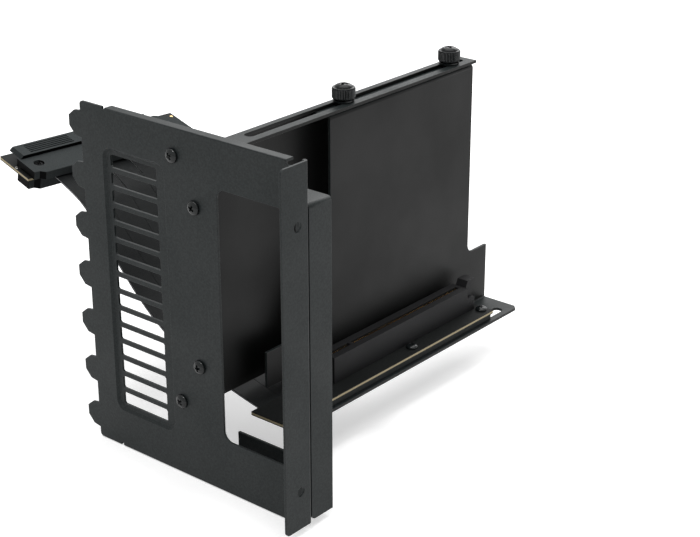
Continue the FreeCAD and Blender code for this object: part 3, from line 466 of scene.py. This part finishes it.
def board_finish(name, up, middle):
    material, tree, shader = node_material(name)
    texture = tree.nodes.new("ShaderNodeGroup")
    texture.node_tree = grain_group
    texture.inputs["Dark"].default_value = (0.004, 0.0046, 0.0045, 1)
    texture.inputs["Light"].default_value = (0.008, 0.009, 0.0088, 1)
    texture.inputs["Scale"].default_value = 900.0
    texture.inputs["Smooth"].default_value, texture.inputs["Rough"].default_value = 0.5, 0.62
    within = tree.nodes.new("ShaderNodeMath")
    within.operation = "COMPARE"
    tree.links.new(beside(tree, up), within.inputs[0])
    within.inputs[1].default_value = middle.dot(Vector(up))
    within.inputs[2].default_value = CORE_HALF * MM
    cut_edge = spread(tree, square_to(tree, up), 0.55, 0.45)
    cut_core = joined(tree, "MULTIPLY", within.outputs[0], cut_edge)
    colour = blended(tree, cut_core, texture.outputs["Color"], GLASS_CLOTH)
    tree.links.new(colour, shader.inputs["Base Color"])
    tree.links.new(texture.outputs["Roughness"], shader.inputs["Roughness"])
    shader.inputs["Specular IOR Level"].default_value = 0.12
    return material


socket_lacquer = board_finish("socket_lacquer", (0, 0, 1), at(0, 0, -46.65))
plug_lacquer = board_finish("plug_lacquer", PLUG_UP, in_plug(0, 0, 0.8))
contact_gold = grained_finish("contact_gold", (0.75, 0.5, 0.2), (0.85, 0.6, 0.27), (0.9, 0.7, 0.4),
                              4000.0, 0.2, 0.32, 0.1, 0.03, metal=1.0)
solder_tin = grained_finish("solder_tin", (0.62, 0.61, 0.58), (0.76, 0.75, 0.71), (0.8, 0.8, 0.78),
                            2500.0, 0.2, 0.35, 0.3, 0.03, metal=1.0)

# %% [markdown]
# ## Finishes on the solids
# The folded sheets keep their solids, because a solid's faces and bends are exact. Modifiers round
# their cut edges by about a tenth of a millimetre, as deburring does, without changing the solid's own
# mesh. A bevel follows every edge that it meets, so a weld joins the solid's loose triangles first, and
# a dissolve joins those of each flat face.

# %% Dress the solids
def dress(node, material, edge_width=0.0):
    solid = nodes[node]
    solid.data.materials.clear()
    solid.data.materials.append(material)
    if edge_width:
        weld = solid.modifiers.new("weld", "WELD")
        weld.merge_threshold = 0.002 * MM
        whole_faces = solid.modifiers.new("whole_faces", "DECIMATE")
        whole_faces.decimate_type, whole_faces.angle_limit = "DISSOLVE", math.radians(0.5)
        rounding = solid.modifiers.new("deburred", "BEVEL")
        rounding.width, rounding.segments = edge_width * MM, 2
        rounding.limit_method, rounding.angle_limit = "ANGLE", math.radians(50)
        rounding.harden_normals = True


SHEET_EDGE, MOULDED_EDGE, SOCKET_EDGE, GRIP_EDGE = 0.08, 0.2, 0.12, 0.1
for node in ("rear_plate", "card_cage"):
    dress(node, powder_coat, SHEET_EDGE)
# The arm and the carriage take the coat with painted shade on their webs.
for node in ("arm_frame", "carriage"):
    dress(node, coat_with_web_shade, SHEET_EDGE)
for node in ("clamp_nut_near", "clamp_nut_far", "thumb_washer_near", "thumb_washer_far"):
    dress(node, black_zinc)
dress("socket_base", shell_plastic, MOULDED_EDGE)
dress("plug_grip", grip_rubber, GRIP_EDGE)
for node in ("plug_shell_top", "plug_shell_bottom"):
    dress(node, plug_plastic, MOULDED_EDGE)
for node in ("socket_body", "socket_latch"):
    dress(node, socket_plastic, SOCKET_EDGE)
dress("socket_board", socket_lacquer)
dress("plug_board", plug_lacquer)
print("dressed:", sorted(n for n in nodes if nodes[n].data.materials))

# %% [markdown]
# ## Screws
# The screws are pan heads with a cross recess and a black zinc layer. A screw is a turned part, so its
# profile is spun round an axis: one ring of points for each step of the profile. The thread is the same
# spin with a radius that dips as the angle and the height advance together, which is what a helix is.

# %% Spun shapes
def spun(shape, profile, around, dip=None):
    """Rings round +Z for each (radius, height), with flat ends. The dip lessens the radius."""
    rings = []
    for radius, height in profile:
        angles = [math.tau * step / around for step in range(around)]
        reaches = [radius - dip(angle, height) if dip else radius for angle in angles]
        rings.append([shape.verts.new((reach * math.cos(angle), reach * math.sin(angle), height))
                      for reach, angle in zip(reaches, angles)])
    for low, high in zip(rings, rings[1:]):
        for step in range(around):
            after = (step + 1) % around
            shape.faces.new((low[step], low[after], high[after], high[step]))
    shape.faces.new(rings[0][::-1])
    shape.faces.new(rings[-1])


def dome(radius, low, high, steps=9):
    quarter = [math.pi / 2 * step / steps for step in range(steps)]
    return [(radius * math.cos(angle), low + (high - low) * math.sin(angle)) for angle in quarter]


def thread_dip(pitch, depth, low, high):
    def dip(angle, height):
        turn = (height / pitch - angle / math.tau) % 1
        return depth * abs(2 * turn - 1) if low <= height <= high else 0.0
    return dip


def shank_profile(radius, tip, seat, pitch):
    steps = round((seat - tip) / pitch * 6)
    body = [(radius, tip + 0.35 + (seat - tip - 0.7) * step / steps) for step in range(steps + 1)]
    return [(radius - 0.4, tip), *body]


print("a dome of 2.8 mm in", len(dome(2.8, 0.5, 1.8)), "rings")

# %% [markdown]
# A cross recess is what a tapered driver leaves, so it is cut by one: a plus-shaped plug, narrow at its
# point. A boolean modifier takes it from the head, and the result is read back as a plain mesh.

# %% Cross recess
def cross_driver(shape, span, top, depth):
    arm, web = span / 2, span * 0.15
    corner = [(web, web), (arm, web), (arm, -web), (web, -web), (web, -arm), (-web, -arm)]
    plus = [*corner, *[(-x, -y) for x, y in corner]]
    rings = [[shape.verts.new((x * scale, y * scale, height)) for x, y in plus]
             for height, scale in ((top - depth, 0.5), (top, 1.0), (top + 0.5, 1.1))]
    for low, high in zip(rings, rings[1:]):
        for step in range(len(plus)):
            after = (step + 1) % len(plus)
            shape.faces.new((low[step], low[after], high[after], high[step]))
    shape.faces.new(rings[0])
    shape.faces.new(rings[-1])


def recessed(head, driver):
    holder, tool = bpy.data.objects.new("head", head), bpy.data.objects.new("driver", driver)
    for helper in (holder, tool):
        scene.collection.objects.link(helper)
    cut = holder.modifiers.new("recess", "BOOLEAN")
    cut.operation, cut.object, cut.solver = "DIFFERENCE", tool, "EXACT"
    result = bpy.data.meshes.new_from_object(holder.evaluated_get(bpy.context.evaluated_depsgraph_get()))
    for helper in (holder, tool):
        bpy.data.objects.remove(helper)
    return result


def pan_screw(head, height, shank, length, cross, pitch=0.5):
    """A pan-head screw in millimetres, seated at 0 with its head up."""
    radius, rim = head / 2, 0.3 * height
    profile = [*shank_profile(shank / 2, -length, 0.0, pitch), (radius - 0.12, 0.0), (radius, 0.12),
               *dome(radius, rim, height)]
    dip = thread_dip(pitch, 0.2, -length + 0.3, -0.3)
    blank = mesh_from(lambda shape: spun(shape, profile, 36, dip))
    driver = mesh_from(lambda shape: cross_driver(shape, cross, height, 0.55 * height + 0.2))
    return recessed(blank, driver)


def set_in(mesh, place, turn=Matrix(), twist=0.0):
    """A (mesh, matrix) pair that stands a millimetre mesh at a point of the scene."""
    return mesh, (Matrix.Translation(place) @ turn @ Matrix.Rotation(math.radians(twist), 4, "Z")
                  @ Matrix.Scale(MM, 4))


# %% Face, board and plug screws
FACING_OUT = Matrix.Rotation(math.radians(90), 4, "X")
FACE_SCREWS = [(48.1, 59.3, 28), (58.2, 41.8, 62), (58.2, -21.4, 8), (48.1, -38.9, 47)]
face_screw = pan_screw(head=5.6, height=1.8, shank=2.7, length=3.4, cross=2.9)
face_mesh = gathered([set_in(face_screw, at(x, 0, z), FACING_OUT, twist) for x, z, twist in FACE_SCREWS])
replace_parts(add_piece("face_screw_set", face_mesh, "base", "black_screw", black_zinc), "face_screws")

BOARD_SCREWS, BOARD_ROW, BOARD_SEAT = [(36.0, 15), (104.0, 70), (153.0, 40)], 77.3, -45.85
board_screw = pan_screw(head=5.0, height=1.6, shank=2.6, length=6.6, cross=2.6)
board_mesh = gathered([set_in(board_screw, at(BOARD_ROW, y, BOARD_SEAT), twist=twist)
                       for y, twist in BOARD_SCREWS])
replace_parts(add_piece("board_screw_set", board_mesh, "carriage", "black_screw", black_zinc), "board_screws")

PLUG_SCREWS, PLUG_ROW, PLUG_SEAT = [(7.4, 35), (76.6, 80)], 17.15, 3.9
plug_screw = pan_screw(head=4.2, height=1.08, shank=2.7, length=3.7, cross=2.3)
plug_mesh = gathered([set_in(plug_screw, in_plug(PLUG_ROW, v, PLUG_SEAT), PLUG_TURN.to_4x4(), twist)
                      for v, twist in PLUG_SCREWS])
plug_screw_set = add_piece("plug_screw_set", plug_mesh, "carriage", "black_screw", dull_black)
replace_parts(plug_screw_set, "plug_screws")

# %% [markdown]
# A thumbscrew is turned by hand, so its rim has straight knurling: ridges that a wheel presses into the
# steel along the axis. The ridges run out into a chamfer at both ends, and a low dome with a cross
# recess closes the top. The same spin makes it, with a dip that depends on the angle alone. The crests
# get a much lighter finish as a painted highlight, and the valleys a near-black, duller one as painted shade.

# %% Thumbscrews
KNURLS, KNURL_DEPTH, KNURL_LOW, KNURL_HIGH = 44, 0.44, 1.6, 5.7
THUMB_RADIUS, THUMB_TOP, RIDGE_SHARE = 4.65, 7.25, 0.3
SHANK_RADIUS, SHANK_TIP, SHANK_PITCH = 1.7, -7.5, 0.7
RAIL_SLOT, RAIL_TOP = 59.05, 62.0


def knurl_dip(angle, height):
    run_out = max(0.0, min(1.0, (height - KNURL_LOW) / 0.4, (KNURL_HIGH - height) / 0.4))
    return KNURL_DEPTH * run_out * (0.5 - 0.5 * math.cos(KNURLS * angle))


head_profile = [(2.6, 0.95), (3.5, 0.95), (4.1, 1.25), (4.5, 1.6),
                *[(THUMB_RADIUS, height) for height in (1.8, 2.0, 3.0, 4.2, 5.2)],
                (4.62, 5.4), (4.45, 5.7), (4.2, 5.88), (3.95, 5.9), (3.75, 5.78), (3.62, 5.86),
                *dome(3.55, 6.0, THUMB_TOP, 10)]
thumb_blank = mesh_from(lambda shape: spun(shape, head_profile, KNURLS * 6, knurl_dip))
# Crest faces take the painted highlight, valley faces the painted shade.
for face in thumb_blank.polygons:
    if KNURL_LOW + 0.3 < face.center.z < KNURL_HIGH - 0.2:
        sunk = math.hypot(face.center.x, face.center.y) < THUMB_RADIUS - RIDGE_SHARE * KNURL_DEPTH
        face.material_index = 2 if sunk else 1
thumb_driver = mesh_from(lambda shape: cross_driver(shape, 4.0, THUMB_TOP, 1.5))
thumb_head = recessed(thumb_blank, thumb_driver)
shank_rings = [*shank_profile(SHANK_RADIUS, SHANK_TIP, 1.2, SHANK_PITCH), (SHANK_RADIUS, 1.4)]
shank_thread = thread_dip(SHANK_PITCH, 0.28, SHANK_TIP + 0.3, 0.6)
thumb_shank = mesh_from(lambda shape: spun(shape, shank_rings, 32, shank_thread))
for end, y, twist in (("near", 82.0, 20), ("far", 150.0, 55)):
    foot = at(RAIL_SLOT, y, RAIL_TOP)
    thumb = gathered([set_in(part, foot, twist=twist) for part in (thumb_head, thumb_shank)])
    piece = add_piece(f"thumb_{end}", thumb, f"{end}_thumb", "black_knurl",
                      knurl_black, ridge_highlight, dull_black, sharp=28)
    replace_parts(piece, f"thumbscrew_{end}")

# %% [markdown]
# ## Contacts
# The edge socket holds two rows of sprung contacts, one to a millimetre. Each is a strip of gilt bronze
# that bows into the slot, so the edge of a board pushed in presses it back. They are small, but they are
# what tells a socket from a slotted block.

# %% Socket contacts
SOCKET_MID, SOCKET_TOP = 70.0, -34.65
BOW = [(0.80, -0.9), (0.60, -1.7), (0.42, -3.0), (0.60, -4.6), (0.80, -7.8)]
STRIP_HALF, STRIP_THICK = 0.24, 0.11
STRIP_CORNERS = [(0, -STRIP_HALF), (0, STRIP_HALF), (STRIP_THICK, STRIP_HALF), (STRIP_THICK, -STRIP_HALF)]
CONTACTS = [60.6 + step for step in range(12)] + [74.5 + step for step in range(71)]


def tube_of(shape, rings):
    """Faces between rings of four corners, closed at both ends."""
    made = [[shape.verts.new(corner) for corner in ring] for ring in rings]
    for low, high in zip(made, made[1:]):
        for step in range(4):
            after = (step + 1) % 4
            shape.faces.new((low[step], low[after], high[after], high[step]))
    shape.faces.new(made[0])
    shape.faces.new(made[-1][::-1])


def contact_rows(shape):
    for y in CONTACTS:
        for side in (-1, 1):
            tube_of(shape, [[at(SOCKET_MID + side * (x + thick), y + along, SOCKET_TOP + z)
                             for thick, along in STRIP_CORNERS] for x, z in BOW])


add_piece("socket_contacts", mesh_from(contact_rows), "carriage", "black_socket", contact_gold)

# %% [markdown]
# The plug's board goes into a mainboard's slot, so its free edge carries gold fingers on both sides,
# with a gap at the key. They are plated copper, a few hundredths of a millimetre high. The board also
# has a plated half hole in its end and two gilt test spots, which the photograph shows.

# %% Gold on the plug's board
FINGERS = [9.6 + step for step in range(4)] + [16.6 + step for step in range(57)]
FINGER_WIDE, FINGER_FROM, FINGER_TO, PLATING, BOARD_SHEET = 0.68, 0.4, 3.9, 0.035, 1.6


def fingers(shape):
    for v in FINGERS:
        for face, lift in ((BOARD_SHEET, PLATING), (0.0, -PLATING)):
            foot, top = FINGER_WIDE / 2, FINGER_WIDE / 2 - 0.04
            tube_of(shape, [[in_plug(FINGER_FROM, v - half, w), in_plug(FINGER_FROM, v + half, w),
                             in_plug(FINGER_TO, v + half, w), in_plug(FINGER_TO, v - half, w)]
                            for half, w in ((foot, face), (top, face + lift))])


plug_fingers = add_piece("plug_fingers", mesh_from(fingers), "carriage", "riser_board", contact_gold)
spot = mesh_from(lambda shape: spun(shape, [(0.7, -0.02), (0.7, 0.03), (0.58, 0.06), (0.2, 0.06)], 24))
barrel = [(0.9, -0.04), (0.9, 0.0), (0.8, BOARD_SHEET), (0.9, BOARD_SHEET + 0.02), (0.3, BOARD_SHEET + 0.1)]
half_hole = mesh_from(lambda shape: spun(shape, barrel, 24))
SPOTS, END_HOLE = [(3.0, 85.3), (5.6, 85.4)], (11.4, 0.95)
spots = [set_in(spot, in_plug(u, v, BOARD_SHEET), PLUG_TURN.to_4x4()) for u, v in SPOTS]
plug_spots = add_piece("plug_spots", gathered(spots), "carriage", "riser_board", contact_gold)
end_hole = gathered([set_in(half_hole, in_plug(*END_HOLE, 0.0), PLUG_TURN.to_4x4())])
plug_end_hole = add_piece("plug_end_hole", end_hole, "carriage", "riser_board", solder_tin)

# %% [markdown]
# ## The ribbon cable
# The cable is five flat strips side by side, each of two thin layers of fine wires. Its line is one
# smooth curve: a NURBS spline through the air between the socket board and the plug. A bevelled curve
# could draw it, but a flat strip with wires needs its own section, so the section is swept along points
# read from the spline.

# %% Routes of the strips
STRIP_WIDTH, STRIP_PITCH, STRIP_SHEET = 11.8, 11.975, 0.9
ROUTE = [(64.6, -46.65), (44.0, -42.6), (8.6, -29.0), (-24.3, 7.4), (-33.0, 17.0)]
PLUG_MOUTH_X, PLUG_MOUTH_Z = [-47.81, -46.17, -44.53, -42.89, -41.25], 22.70
STRIP_MIDDLES = [30.75 + STRIP_PITCH * number for number in range(5)]


def smooth_line(name, points):
    curve = bpy.data.curves.new(name, "CURVE")
    curve.dimensions = "3D"
    spline = curve.splines.new("NURBS")
    spline.points.add(len(points) - 1)
    for point, place in zip(spline.points, points):
        point.co = (*place, 1)
    spline.order_u, spline.use_endpoint_u, spline.resolution_u = 3, True, 16
    holder = bpy.data.objects.new(name, curve)
    line = bpy.data.meshes.new_from_object(holder)
    places = [vertex.co.copy() for vertex in line.vertices]
    bpy.data.objects.remove(holder)
    bpy.data.meshes.remove(line)
    return places


lines = []
for middle, mouth in zip(STRIP_MIDDLES, PLUG_MOUTH_X):
    turns = [*ROUTE, (mouth, PLUG_MOUTH_Z)]
    lines.append(smooth_line("strip_line", [at(x, middle, z) for x, z in turns]))
lengths = [sum((b - a).length for a, b in zip(line, line[1:])) for line in lines]
print("strip lengths, mm:", [round(length * 1000, 1) for length in lengths])

# %% The strip's section and its sweep
WIRE_PITCH, WIRE_HEIGHT, GROOVE, STEPS = 0.64, 0.07, 0.1, 72


def strip_section():
    """Closed outline across the strip, millimetres: waves over the wires, a groove between the layers."""
    half, rise = STRIP_WIDTH / 2, STRIP_SHEET / 2
    top = []
    for step in range(STEPS + 1):
        across = -half + 0.12 + (STRIP_WIDTH - 0.24) * step / STEPS
        top.append((across, rise - WIRE_HEIGHT * (0.5 - 0.5 * math.cos(math.tau * across / WIRE_PITCH))))
    inset = half - GROOVE
    right = [(half, 0.40), (half, 0.18), (inset, 0.16), (inset, -0.16), (half, -0.18), (half, -0.40)]
    bottom = [(across, -height) for across, height in reversed(top)]
    left = [(-across, -height) for across, height in right]
    return top + right + bottom + left


def sweep(shape, line, section):
    rings = []
    for index, place in enumerate(line):
        along = (line[min(index + 1, len(line) - 1)] - line[max(index - 1, 0)]).normalized()
        across = Vector((0, 1, 0))
        normal = along.cross(across).normalized()
        rings.append([shape.verts.new(place + (across * a + normal * n) * MM) for a, n in section])
    for first, second in zip(rings, rings[1:]):
        for i in range(len(section)):
            j = (i + 1) % len(section)
            shape.faces.new((first[i], first[j], second[j], second[i]))
    shape.faces.new(rings[0])
    shape.faces.new(rings[-1][::-1])


section = strip_section()
for number, (line, length) in enumerate(zip(lines, lengths), start=1):
    mesh = mesh_from(lambda shape: sweep(shape, line, section))
    for face in mesh.polygons:
        side_step = abs(face.center.y - line[0].y) / MM - STRIP_WIDTH / 2
        face.material_index = int(abs(side_step + GROOVE) < 0.01)
    strip = add_piece(f"ribbon_strip_{number}", mesh, "carriage", "black_ribbon",
                      ribbon_jacket, ribbon_foil)
    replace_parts(strip, f"ribbon_{number}")
